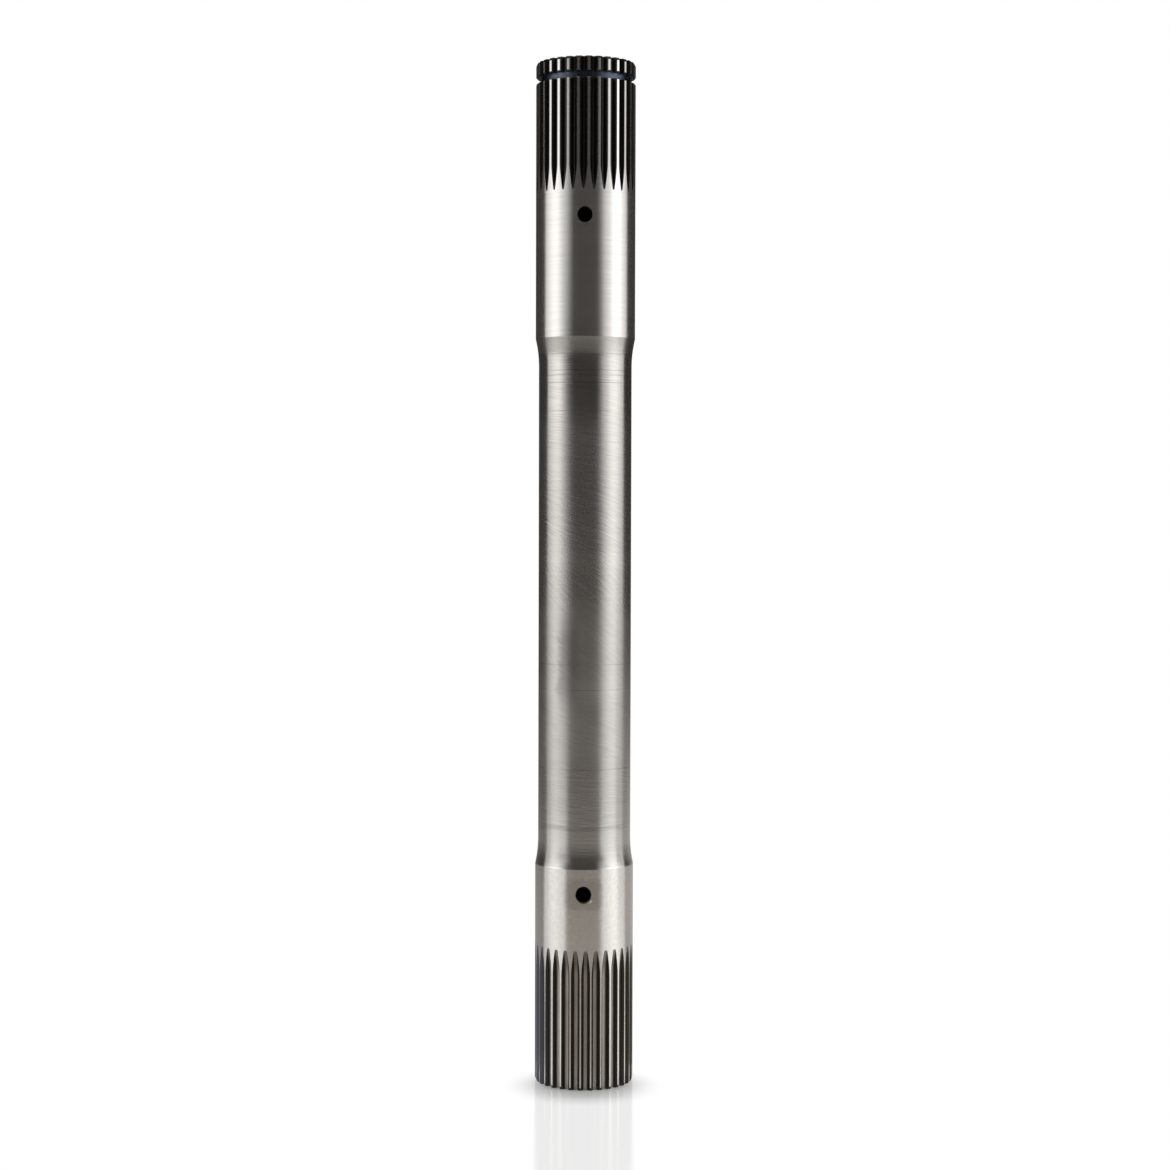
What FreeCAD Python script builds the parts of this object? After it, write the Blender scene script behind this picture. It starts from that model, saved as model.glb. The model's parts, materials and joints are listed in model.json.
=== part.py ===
import FreeCAD, Part
import math
import os

# Transmission main shaft, turned from one bar and bored through for oil.
# A long neck joins two thicker ends. Each end has a ground land next to the neck and
# thirty spline teeth running out to its end face. The upper end has a snap-ring groove.
# The shaft stands on its lower end face, and both oil holes face -Y.

# Lengths along the shaft, in millimetres
OVERALL_LENGTH = 335.6
LOWER_END_LENGTH = 72.5        # lower end face to the edge where the neck starts
UPPER_END_LENGTH = 89.9        # upper end face to the edge where the neck starts
LOWER_TOOTH_LENGTH = 36.9      # full-depth teeth, without the run-out
UPPER_TOOTH_LENGTH = 34.0
END_CHAMFER_LENGTH = 0.9       # along the shaft
END_CHAMFER_DEPTH = 0.5        # towards its axis

# Diameters of what is turned and ground
LOWER_END_DIAMETER = 32.5
UPPER_END_DIAMETER = 32.7
NECK_DIAMETER = 30.55
NECK_FLARE_RADIUS = 40.0       # of the arc by which the neck rises to each end

# Spline teeth with 30 degree involute flanks
TOOTH_COUNT = 30
PITCH_DIAMETER = 31.75         # at which there are 24 teeth to the inch
PRESSURE_ANGLE = 30.0
LOWER_TOOTH_DEPTH = 1.6
UPPER_TOOTH_DEPTH = 1.48
LOWER_CREST_WIDTH = 0.48
UPPER_CREST_WIDTH = 1.06
ROOT_BEVEL = 0.2               # at each side of a groove's floor, where the cutter's corners are blunt
HOB_RADIUS = 26.0              # of the cutter, which leaves the grooves running out in an arc
LOWER_TOOTH_TURN = 2.9         # degrees from the oil holes to the middle of the nearest groove
UPPER_TOOTH_TURN = -1.8

# Snap-ring groove in the upper end
RING_GROOVE_SETBACK = 4.65     # from the end face to the groove's upper wall
RING_GROOVE_WIDTH = 2.05
RING_GROOVE_DEPTH = 1.85
RING_GROOVE_CHAMFER = 0.3

# Oil bore with a centre at each end, and the two holes that lead into it
OIL_BORE_DIAMETER = 8.0
CENTRE_DIAMETER = 12.0
CENTRE_ANGLE = 60.0
OIL_HOLE_DIAMETER = 4.76
OIL_HOLE_CHAMFER = 0.3
LOWER_HOLE_HEIGHT = 64.3       # from the lower end face
UPPER_HOLE_SETBACK = 50.8      # from the upper end face

# How far a cutting tool passes beyond the surface that it cuts
CUT_CLEARANCE = 1.0

LOWER_RADIUS = LOWER_END_DIAMETER / 2
UPPER_RADIUS = UPPER_END_DIAMETER / 2
NECK_RADIUS = NECK_DIAMETER / 2
BORE_RADIUS = OIL_BORE_DIAMETER / 2
CENTRE_RADIUS = CENTRE_DIAMETER / 2
BASE_RADIUS = PITCH_DIAMETER / 2 * math.cos(math.radians(PRESSURE_ANGLE))


def at(radius, height):
    """A point of the half section, which lies in the XZ plane."""
    return FreeCAD.Vector(radius, 0, height)


def line(start, end):
    return Part.LineSegment(start, end).toShape()


def arc(start, middle, end):
    return Part.Arc(start, middle, end).toShape()


def flare_length(end_radius):
    """How far along the shaft the neck takes to rise to an end of this radius."""
    rise = end_radius - NECK_RADIUS
    return math.sqrt(2 * NECK_FLARE_RADIUS * rise - rise ** 2)


def flare(end_radius, edge_height, direction):
    """The concave arc from the edge of an end to the neck, which it meets smoothly.

    direction is 1 where the neck lies above the edge and -1 where it lies below.
    """
    length = flare_length(end_radius)
    turn = math.asin(length / NECK_FLARE_RADIUS) / 2
    neck_height = edge_height + direction * length
    middle_radius = NECK_RADIUS + NECK_FLARE_RADIUS * (1 - math.cos(turn))
    middle_height = neck_height - direction * NECK_FLARE_RADIUS * math.sin(turn)
    edge = at(end_radius, edge_height)
    foot = at(NECK_RADIUS, neck_height)
    return arc(edge, at(middle_radius, middle_height), foot)


def centre_depth():
    """Depth of the cone that holds the shaft between centres."""
    return (CENTRE_RADIUS - BORE_RADIUS) / math.tan(math.radians(CENTRE_ANGLE / 2))


def turned_section():
    """Half section of the shaft as it leaves the lathe, anticlockwise from the lower end face."""
    top = OVERALL_LENGTH
    lower_edge = LOWER_END_LENGTH
    upper_edge = top - UPPER_END_LENGTH
    lower_flare = flare(LOWER_RADIUS, lower_edge, 1)
    upper_flare = flare(UPPER_RADIUS, upper_edge, -1)
    lower_foot = at(NECK_RADIUS, lower_edge + flare_length(LOWER_RADIUS))
    upper_foot = at(NECK_RADIUS, upper_edge - flare_length(UPPER_RADIUS))
    lower_face = [
        at(CENTRE_RADIUS, 0),
        at(LOWER_RADIUS - END_CHAMFER_DEPTH, 0),
        at(LOWER_RADIUS, END_CHAMFER_LENGTH),
        at(LOWER_RADIUS, LOWER_TOOTH_LENGTH),
        at(LOWER_RADIUS, lower_edge),
    ]
    upper_face = [
        at(UPPER_RADIUS, upper_edge),
        at(UPPER_RADIUS, top - UPPER_TOOTH_LENGTH),
        at(UPPER_RADIUS, top - END_CHAMFER_LENGTH),
        at(UPPER_RADIUS - END_CHAMFER_DEPTH, top),
        at(CENTRE_RADIUS, top),
        at(BORE_RADIUS, top - centre_depth()),
        at(BORE_RADIUS, centre_depth()),
        at(CENTRE_RADIUS, 0),
    ]
    edges = [line(a, b) for a, b in zip(lower_face, lower_face[1:])]
    edges.append(lower_flare)
    edges.append(line(lower_foot, upper_foot))
    edges.append(upper_flare)
    edges += [line(a, b) for a, b in zip(upper_face, upper_face[1:])]
    return Part.Face(Part.Wire(Part.__sortEdges__(edges)))


def turned_blank():
    return turned_section().revolve(FreeCAD.Vector(), FreeCAD.Vector(0, 0, 1), 360)


def involute(angle):
    return math.tan(angle) - angle


def flank_angle(radius):
    """Angle between the tooth's flank and the radius; the flank is radial below the base circle."""
    return math.acos(min(1.0, BASE_RADIUS / radius))


class ToothSpace:
    """The groove between two teeth, in the plane across the shaft, facing -Y."""

    def __init__(self, crest_radius, depth, crest_width):
        self.crest_radius = crest_radius
        self.root_radius = crest_radius - depth
        crest_angle = crest_width / crest_radius
        self.crest_half_angle = (2 * math.pi / TOOTH_COUNT - crest_angle) / 2

    def half_angle(self, radius):
        narrowing = involute(flank_angle(self.crest_radius)) - involute(flank_angle(radius))
        return self.crest_half_angle - narrowing

    def point(self, radius, angle, height):
        return FreeCAD.Vector(radius * math.sin(angle), -radius * math.cos(angle), height)

    def flank_point(self, radius, side, height):
        return self.point(radius, side * self.half_angle(radius), height)

    def bevel(self, side, height):
        """Where the blunt corner between floor and flank starts and ends."""
        root = self.root_radius
        across = min(ROOT_BEVEL, root * self.half_angle(root) / 2)
        floor_end = self.point(root, side * (self.half_angle(root) - across / root), height)
        return floor_end, self.flank_point(root + across, side, height)

    def flank(self, start, side, height):
        """The involute flank from the root bevel to beyond the crest."""
        start_radius = math.hypot(start.x, start.y)
        end_radius = self.crest_radius + CUT_CLEARANCE
        middle = self.flank_point((start_radius + end_radius) / 2, side, height)
        return arc(start, middle, self.flank_point(end_radius, side, height))

    def section(self, height):
        left_floor, left_flank = self.bevel(-1, height)
        right_floor, right_flank = self.bevel(1, height)
        outside = self.crest_radius + CUT_CLEARANCE
        edges = [
            line(left_floor, right_floor),
            line(right_floor, right_flank),
            self.flank(right_flank, 1, height),
            line(self.flank_point(outside, 1, height), self.flank_point(outside, -1, height)),
            self.flank(left_flank, -1, height),
            line(left_flank, left_floor),
        ]
        return Part.Face(Part.Wire(Part.__sortEdges__(edges)))

    def cutter(self, run_out_height, length, direction):
        """The hob's path: straight from beyond the end face, then out of the metal in an arc.

        direction is 1 where the run-out goes up the shaft and -1 where it goes down.
        """
        section = self.section(run_out_height)
        straight = section.extrude(FreeCAD.Vector(0, 0, -direction * (length + CUT_CLEARANCE)))
        hob_axis = FreeCAD.Vector(0, -(self.root_radius + HOB_RADIUS), run_out_height)
        depth = self.crest_radius + CUT_CLEARANCE - self.root_radius
        lift = math.degrees(math.acos(1 - depth / HOB_RADIUS))
        run_out = section.revolve(hob_axis, FreeCAD.Vector(1, 0, 0), direction * lift)
        return straight.fuse(run_out)


def round_the_shaft(cutter, turn):
    """Copies of one groove's cutter for every tooth space."""
    copies = []
    for index in range(TOOTH_COUNT):
        copy = cutter.copy()
        copy.rotate(FreeCAD.Vector(), FreeCAD.Vector(0, 0, 1), turn + index * 360 / TOOTH_COUNT)
        copies.append(copy)
    return copies


def lower_teeth():
    space = ToothSpace(LOWER_RADIUS, LOWER_TOOTH_DEPTH, LOWER_CREST_WIDTH)
    cutter = space.cutter(LOWER_TOOTH_LENGTH, LOWER_TOOTH_LENGTH, 1)
    return round_the_shaft(cutter, LOWER_TOOTH_TURN)


def upper_teeth():
    space = ToothSpace(UPPER_RADIUS, UPPER_TOOTH_DEPTH, UPPER_CREST_WIDTH)
    cutter = space.cutter(OVERALL_LENGTH - UPPER_TOOTH_LENGTH, UPPER_TOOTH_LENGTH, -1)
    return round_the_shaft(cutter, UPPER_TOOTH_TURN)


def ring_groove():
    """The ring of metal that the grooving tool takes out, with its chamfered mouth."""
    upper_wall = OVERALL_LENGTH - RING_GROOVE_SETBACK
    lower_wall = upper_wall - RING_GROOVE_WIDTH
    floor = UPPER_RADIUS - RING_GROOVE_DEPTH
    mouth = UPPER_RADIUS - RING_GROOVE_CHAMFER
    outside = UPPER_RADIUS + CUT_CLEARANCE
    spread = RING_GROOVE_CHAMFER + CUT_CLEARANCE
    corners = [
        at(floor, lower_wall),
        at(mouth, lower_wall),
        at(outside, lower_wall - spread),
        at(outside, upper_wall + spread),
        at(mouth, upper_wall),
        at(floor, upper_wall),
        at(floor, lower_wall),
    ]
    section = Part.Face(Part.makePolygon(corners))
    return section.revolve(FreeCAD.Vector(), FreeCAD.Vector(0, 0, 1), 360)


def oil_hole(surface_radius, height):
    """A drill from the surface facing -Y to the bore, and its 45 degree countersink."""
    outward = FreeCAD.Vector(0, -1, 0)
    hole_radius = OIL_HOLE_DIAMETER / 2
    drill = Part.makeCylinder(
        hole_radius, surface_radius + CUT_CLEARANCE, FreeCAD.Vector(0, 0, height), outward)
    countersink = Part.makeCone(
        hole_radius, hole_radius + OIL_HOLE_CHAMFER + CUT_CLEARANCE,
        OIL_HOLE_CHAMFER + CUT_CLEARANCE,
        FreeCAD.Vector(0, -(surface_radius - OIL_HOLE_CHAMFER), height), outward)
    return drill.fuse(countersink)


def main_shaft():
    tools = lower_teeth() + upper_teeth()
    tools.append(ring_groove())
    tools.append(oil_hole(LOWER_RADIUS, LOWER_HOLE_HEIGHT))
    tools.append(oil_hole(UPPER_RADIUS, OVERALL_LENGTH - UPPER_HOLE_SETBACK))
    return turned_blank().cut(tools)


def save(shape, name):
    os.makedirs("parts", exist_ok=True)
    solid = shape.Solids[0]
    print(name, "solids", len(shape.Solids), "valid", solid.isValid())
    print(name, "volume cm3", round(solid.Volume / 1000, 2), "faces", len(solid.Faces))
    solid.exportStep("parts/" + name + ".step")


save(main_shaft(), "main_shaft")
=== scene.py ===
# %% [markdown]
# # A transmission main shaft, turned, hobbed and ground
#
# The shaft carries the gears of a gearbox. It starts as a round bar, is turned to a section
# on a lathe, gets thirty teeth at each end from a hob, and is then ground and polished.
# This notebook makes it in the same order, because each finish on the real shaft comes from
# one of those steps and stops where that step stopped.

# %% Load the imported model
import json
import math

import bmesh
import bpy
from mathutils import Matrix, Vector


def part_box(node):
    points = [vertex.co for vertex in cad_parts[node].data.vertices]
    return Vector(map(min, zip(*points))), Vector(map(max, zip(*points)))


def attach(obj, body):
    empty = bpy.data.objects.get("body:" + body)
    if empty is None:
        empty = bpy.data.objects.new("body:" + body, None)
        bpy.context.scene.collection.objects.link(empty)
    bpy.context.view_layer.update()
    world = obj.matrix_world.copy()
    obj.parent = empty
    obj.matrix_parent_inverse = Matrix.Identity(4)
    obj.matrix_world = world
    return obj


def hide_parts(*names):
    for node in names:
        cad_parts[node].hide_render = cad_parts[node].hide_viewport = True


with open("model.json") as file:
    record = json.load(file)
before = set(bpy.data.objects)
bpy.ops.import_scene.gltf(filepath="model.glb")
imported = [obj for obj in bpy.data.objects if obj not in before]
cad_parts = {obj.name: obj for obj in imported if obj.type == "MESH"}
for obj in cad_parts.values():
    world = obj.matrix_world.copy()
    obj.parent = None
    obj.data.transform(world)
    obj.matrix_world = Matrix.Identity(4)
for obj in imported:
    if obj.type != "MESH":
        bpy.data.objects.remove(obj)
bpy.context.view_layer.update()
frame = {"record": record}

# %% [markdown]
# ## Sizes
#
# The shaft's length, the radii of its ends and the places of their edges come from the
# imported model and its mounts, so that the dressed shaft can't drift from the plain one.
# What a mount doesn't say, such as the depth of a tooth, is a named value in millimetres.

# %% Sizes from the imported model
MM = 0.001
mounts = {mount["name"]: mount for mount in frame["record"]["mounts"]}


def wall(name):
    """Radius, lowest and highest height of a round mount, in metres."""
    mount = mounts[name]
    half = mount["dims"]["length_mm"] * MM / 2
    middle = mount["pos_m"][2]
    return mount["dims"]["r_mm"] * MM, middle - half, middle + half


_, high_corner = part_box("main_shaft")
LENGTH = high_corner.z
LOWER_RADIUS, _, LOWER_EDGE = wall("lower_journal")
UPPER_RADIUS, UPPER_EDGE, _ = wall("upper_journal")
BORE_RADIUS, CENTRE_DEPTH, _ = wall("oil_bore")
RING_GROOVE_HEIGHT = mounts["snap_ring_groove"]["pos_m"][2]
print("edges of the neck at", round(LOWER_EDGE, 5), "and", round(UPPER_EDGE, 5))

# %% Sizes of the teeth, the neck and the small cuts
NECK_RADIUS = 15.275 * MM
NECK_FLARE_RADIUS = 40 * MM
END_CHAMFER_LENGTH = 0.9 * MM
END_CHAMFER_DEPTH = 0.5 * MM
CENTRE_RADIUS = 6 * MM

TOOTH_COUNT = 30
PITCH_RADIUS = 15.875 * MM
PRESSURE_ANGLE = math.radians(30)
ROOT_FILLET = 0.35 * MM
HOB_RADIUS = 26 * MM
LOWER_TEETH = {"length": 36.9 * MM, "depth": 1.6 * MM, "crest": 0.48 * MM, "turn": 2.9}
UPPER_TEETH = {"length": 34.0 * MM, "depth": 1.48 * MM, "crest": 1.06 * MM, "turn": -1.8}

RING_GROOVE_WIDTH = 2.05 * MM
RING_GROOVE_DEPTH = 1.85 * MM
RING_GROOVE_CHAMFER = 0.3 * MM

OIL_HOLE_RADIUS = 2.38 * MM
UPPER_HOLE_CHAMFER = 0.3 * MM
LOWER_HOLE_CHAMFER = 0.45 * MM
LOWER_HOLE_HEIGHT = 64.3 * MM
UPPER_HOLE_HEIGHT = LENGTH - 50.8 * MM

CUT_CLEARANCE = 0.3 * MM
BASE_RADIUS = PITCH_RADIUS * math.cos(PRESSURE_ANGLE)

# %% [markdown]
# ## Hands for the work
#
# The operators act on whatever is selected, so every step starts by saying what that is.
# Points are picked by a rule about their place, which reads like a sentence and still
# holds when a size changes.

# %% Selecting and measuring
def start_fresh():
    """Leaves edit mode and deselects everything."""
    if bpy.context.object and bpy.context.object.mode != "OBJECT":
        bpy.ops.object.mode_set(mode="OBJECT")
    bpy.ops.object.select_all(action="DESELECT")


def pick_points(piece, rule):
    """In edit mode, selects the points that the rule picks, and nothing else."""
    mesh = bmesh.from_edit_mesh(piece.data)
    for point in mesh.verts:
        point.select_set(False)
    mesh.select_flush(False)
    for point in mesh.verts:
        if rule(point.co):
            point.select_set(True)
    mesh.select_flush_mode()
    bmesh.update_edit_mesh(piece.data)


def edit(piece):
    """Enters edit mode on one piece, with all of it selected."""
    start_fresh()
    piece.select_set(True)
    bpy.context.view_layer.objects.active = piece
    bpy.ops.object.mode_set(mode="EDIT")
    bpy.ops.mesh.select_mode(type="VERT")
    bpy.ops.mesh.select_all(action="SELECT")


def triangles(piece):
    return sum(len(face.vertices) - 2 for face in piece.data.polygons)


def open_edges(piece):
    """How many edges don't lie between exactly two faces; a solid has none."""
    mesh = bmesh.new()
    mesh.from_mesh(piece.data)
    count = sum(not line.is_manifold for line in mesh.edges)
    mesh.free()
    return count


# %% [markdown]
# ## Turning the blank
#
# A lathe gives a round bar its section. In Blender, a ring of points can be drawn along the
# section with extrude and scale, one ring for each corner, and bridged to itself at the end.
# A spin of half the outline would do as well, but it would leave a seam and a pole to close.
# The neck rises to each end along an arc, so that stretch gets a ring every few degrees.

# %% The section
FLARE_STEPS = 10


def flare(end_radius, edge_height, direction):
    """Points of the arc from an end's edge to the neck.

    direction is 1 where the neck lies above the edge, and -1 where it lies below.
    """
    rise = end_radius - NECK_RADIUS
    turn = math.acos(1 - rise / NECK_FLARE_RADIUS)
    foot = edge_height + direction * NECK_FLARE_RADIUS * math.sin(turn)
    points = []
    for step in range(FLARE_STEPS + 1):
        angle = turn * (1 - step / FLARE_STEPS)
        radius = NECK_RADIUS + NECK_FLARE_RADIUS * (1 - math.cos(angle))
        points.append((radius, foot - direction * NECK_FLARE_RADIUS * math.sin(angle)))
    return points


def ring_groove():
    """Points of the snap-ring groove, with its chamfered mouth, from its lower wall up."""
    lower = RING_GROOVE_HEIGHT - RING_GROOVE_WIDTH / 2
    upper = RING_GROOVE_HEIGHT + RING_GROOVE_WIDTH / 2
    floor = UPPER_RADIUS - RING_GROOVE_DEPTH
    mouth = UPPER_RADIUS - RING_GROOVE_CHAMFER
    return [
        (UPPER_RADIUS, lower - RING_GROOVE_CHAMFER), (mouth, lower), (floor, lower),
        (floor, upper), (mouth, upper), (UPPER_RADIUS, upper + RING_GROOVE_CHAMFER),
    ]


section = [
    (CENTRE_RADIUS, 0), (LOWER_RADIUS - END_CHAMFER_DEPTH, 0), (LOWER_RADIUS, END_CHAMFER_LENGTH),
]
section += flare(LOWER_RADIUS, LOWER_EDGE, 1)
section += reversed(flare(UPPER_RADIUS, UPPER_EDGE, -1))
section += ring_groove()
section += [
    (UPPER_RADIUS, LENGTH - END_CHAMFER_LENGTH), (UPPER_RADIUS - END_CHAMFER_DEPTH, LENGTH),
    (CENTRE_RADIUS, LENGTH), (BORE_RADIUS, LENGTH - CENTRE_DEPTH), (BORE_RADIUS, CENTRE_DEPTH),
]
print("the section has", len(section), "points")

# %% The blank
SIDES = 480


def turn_blank(name, outline):
    """A solid of revolution: one ring of points is drawn along the outline and closed."""
    start_fresh()
    radius, height = outline[0]
    bpy.ops.mesh.primitive_circle_add(vertices=SIDES, radius=radius, location=(0, 0, height))
    blank = bpy.context.object
    blank.name = name
    edit(blank)
    for next_radius, next_height in outline[1:]:
        bpy.ops.mesh.extrude_region_move(
            TRANSFORM_OT_translate={"value": (0, 0, next_height - height)})
        growth = next_radius / radius
        bpy.ops.transform.resize(value=(growth, growth, 1), center_override=(0, 0, next_height))
        radius, height = next_radius, next_height
    bpy.ops.mesh.select_all(action="DESELECT")
    bpy.ops.mesh.select_non_manifold()
    bpy.ops.mesh.bridge_edge_loops()
    bpy.ops.mesh.select_all(action="SELECT")
    bpy.ops.mesh.normals_make_consistent(inside=False)
    bpy.ops.object.mode_set(mode="OBJECT")
    return blank


shaft = turn_blank("dressed_shaft", section)
print("blank:", triangles(shaft), "triangles,", open_edges(shaft), "open edges")

# %% [markdown]
# ## Hobbing the teeth
#
# A hob leaves a groove between each two teeth: straight for most of its way, and then rising
# out of the metal in an arc of the hob's own radius, which is why the grooves end in points.
# Its flanks are involutes. The quickest true model is the tool's path itself: the groove's
# section is built up row by row from its floor, extruded past the end of the shaft, and
# spun about the hob's axis for the run-out. One Boolean then cuts all thirty at once.

# %% The groove's section
FILLET_STEPS = 6
FLANK_STEPS = 5


def involute(angle):
    return math.tan(angle) - angle


def flank_angle(radius):
    return math.acos(min(1, BASE_RADIUS / radius))


def groove_rows(crest_radius, depth, crest):
    """Half widths of a groove and their distances from the shaft's axis, from the floor out."""
    root = crest_radius - depth
    crest_half = (2 * math.pi / TOOTH_COUNT - crest / crest_radius) / 2

    def flank(radius):
        narrowing = involute(flank_angle(crest_radius)) - involute(flank_angle(radius))
        half = crest_half - narrowing
        return radius * math.sin(half), radius * math.cos(half)

    lean = flank_angle(root + ROOT_FILLET / 2)
    sweep = math.pi / 2 - lean
    fillet_height = ROOT_FILLET * (1 - math.cos(sweep))
    fillet_end = flank(root + fillet_height)
    centre = fillet_end[0] - ROOT_FILLET * math.sin(sweep)
    rows = []
    for step in range(FILLET_STEPS + 1):
        angle = sweep * step / FILLET_STEPS
        rows.append((centre + ROOT_FILLET * math.sin(angle),
                     fillet_end[1] - ROOT_FILLET * (math.cos(angle) - math.cos(sweep))))
    flank_height = crest_radius + CUT_CLEARANCE - root - fillet_height
    for step in range(1, FLANK_STEPS + 1):
        rows.append(flank(root + fillet_height + flank_height * step / FLANK_STEPS))
    return rows


# %% The hob's path
RUN_OUT_STEPS = 16
NEAR = 0.001 * MM


def groove_section(name, rows, height):
    """A flat strip of quads in the groove's outline, built up row by row."""
    start_fresh()
    (half, distance), (next_half, next_distance) = rows[:2]
    bpy.ops.mesh.primitive_plane_add(
        size=1, location=(0, -(distance + next_distance) / 2, height))
    path = bpy.context.object
    path.name = name
    edit(path)
    bpy.ops.transform.resize(value=(2 * half, next_distance - distance, 1))
    bpy.ops.object.mode_set(mode="OBJECT")
    bpy.ops.object.transform_apply(location=True)
    edit(path)
    pick_points(path, lambda point: abs(point.y + next_distance) < NEAR)
    bpy.ops.transform.resize(value=(next_half / half, 1, 1))
    for half, distance in rows[2:]:
        bpy.ops.mesh.extrude_region_move(
            TRANSFORM_OT_translate={"value": (0, next_distance - distance, 0)})
        bpy.ops.transform.resize(value=(half / next_half, 1, 1))
        next_half, next_distance = half, distance
    return path


def hob_path(name, crest_radius, teeth, end_height, direction):
    """What the hob takes out in one pass; direction is 1 where it runs out upwards."""
    rows = groove_rows(crest_radius, teeth["depth"], teeth["crest"])
    run_out = end_height + direction * teeth["length"]
    path = groove_section(name, rows, run_out)
    bpy.ops.mesh.select_all(action="SELECT")
    reach = -direction * (teeth["length"] + CUT_CLEARANCE)
    bpy.ops.mesh.extrude_region_move(TRANSFORM_OT_translate={"value": (0, 0, reach)})
    pick_points(path, lambda point: abs(point.z - run_out) < NEAR)
    floor = crest_radius - teeth["depth"]
    lift = math.acos(1 - (teeth["depth"] + CUT_CLEARANCE) / HOB_RADIUS)
    bpy.ops.mesh.spin(
        steps=RUN_OUT_STEPS, angle=-direction * lift,
        center=(0, -(floor + HOB_RADIUS), run_out), axis=(1, 0, 0))
    bpy.ops.mesh.select_all(action="SELECT")
    bpy.ops.mesh.normals_make_consistent(inside=False)
    bpy.ops.object.mode_set(mode="OBJECT")
    return path


def all_round(path, turn):
    """Turns one hob path to its place and copies it for every tooth space."""
    start_fresh()
    path.select_set(True)
    bpy.context.view_layer.objects.active = path
    path.rotation_euler.z = math.radians(turn)
    bpy.ops.object.transform_apply(rotation=True)
    edit(path)
    bpy.ops.mesh.spin(
        steps=TOOTH_COUNT - 1, dupli=True, angle=2 * math.pi * (TOOTH_COUNT - 1) / TOOTH_COUNT,
        center=(0, 0, 0), axis=(0, 0, 1))
    bpy.ops.object.mode_set(mode="OBJECT")


lower_hob = hob_path("lower_hob", LOWER_RADIUS, LOWER_TEETH, 0, 1)
all_round(lower_hob, LOWER_TEETH["turn"])
upper_hob = hob_path("upper_hob", UPPER_RADIUS, UPPER_TEETH, LENGTH, -1)
all_round(upper_hob, UPPER_TEETH["turn"])
for hob in (lower_hob, upper_hob):
    heights = [round(point.co.z, 5) for point in hob.data.vertices]
    print(hob.name, min(heights), "to", max(heights), "with", open_edges(hob), "open edges")

# %% [markdown]
# ## Drilling the oil holes
#
# Each oil hole is a drill's cylinder from the surface to the bore, with a small countersink.
# That of the lower hole is a little wider, because its edge is rubbed as well as cut.
# The cutter is a cylinder whose outer end is extruded once more and widened.

# %% Drills
DRILL_SIDES = 96


def drill(name, surface_radius, height, chamfer):
    """A drill that comes in from -Y to the shaft's axis, with a 45 degree countersink."""
    start_fresh()
    depth = surface_radius - chamfer
    bpy.ops.mesh.primitive_cylinder_add(
        vertices=DRILL_SIDES, radius=OIL_HOLE_RADIUS, depth=depth,
        location=(0, -depth / 2, height), rotation=(math.pi / 2, 0, 0))
    tool = bpy.context.object
    tool.name = name
    bpy.ops.object.transform_apply(location=True, rotation=True)
    edit(tool)
    pick_points(tool, lambda point: abs(point.y + depth) < NEAR)
    flare_out = chamfer + CUT_CLEARANCE
    bpy.ops.mesh.extrude_region_move(TRANSFORM_OT_translate={"value": (0, -flare_out, 0)})
    growth = 1 + flare_out / OIL_HOLE_RADIUS
    bpy.ops.transform.resize(
        value=(growth, 1, growth), center_override=(0, -depth - flare_out, height))
    bpy.ops.mesh.select_all(action="SELECT")
    bpy.ops.mesh.normals_make_consistent(inside=False)
    bpy.ops.object.mode_set(mode="OBJECT")
    return tool


lower_drill = drill("lower_drill", LOWER_RADIUS, LOWER_HOLE_HEIGHT, LOWER_HOLE_CHAMFER)
upper_drill = drill("upper_drill", UPPER_RADIUS, UPPER_HOLE_HEIGHT, UPPER_HOLE_CHAMFER)

# %% [markdown]
# ## Finishes that differ
#
# One bar of steel, but eight finishes: two ground lands, a belt-polished neck, the tooth
# spaces of each end as the hob and the hardening left them, a dark snap-ring groove, a plain
# bore, and oil holes painted nearly black as shade. Each is a material of its own. The tools
# carry their material into the cut, which marks the tooth spaces and the holes. The rest is
# told apart by its place.
#
# A finish is written as arithmetic on the place of a point, in millimetres and radians. Such a
# formula can be read and changed line by line, which a web of nodes can't.

# %% Shader maths as expressions
# A node's sockets are numbered. The Mix node's have to be, because they share their names.
OBJECT_PLACE = 3
MIX_AMOUNT, MIX_FIRST, MIX_SECOND, MIX_COLOUR = 0, 6, 7, 2


class Signal:
    """A number, colour or vector on its way through a finish, which takes part in arithmetic."""

    def __init__(self, finish, socket):
        self.finish = finish
        self.socket = socket

    def __add__(self, other):
        return self.finish.maths("ADD", self, other)

    __radd__ = __add__

    def __sub__(self, other):
        return self.finish.maths("SUBTRACT", self, other)

    def __rsub__(self, other):
        return self.finish.maths("SUBTRACT", other, self)

    def __mul__(self, other):
        return self.finish.maths("MULTIPLY", self, other)

    __rmul__ = __mul__

    def __truediv__(self, other):
        return self.finish.maths("DIVIDE", self, other)

    def __pow__(self, other):
        return self.finish.maths("POWER", self, other)

    def __neg__(self):
        return self * -1


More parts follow.
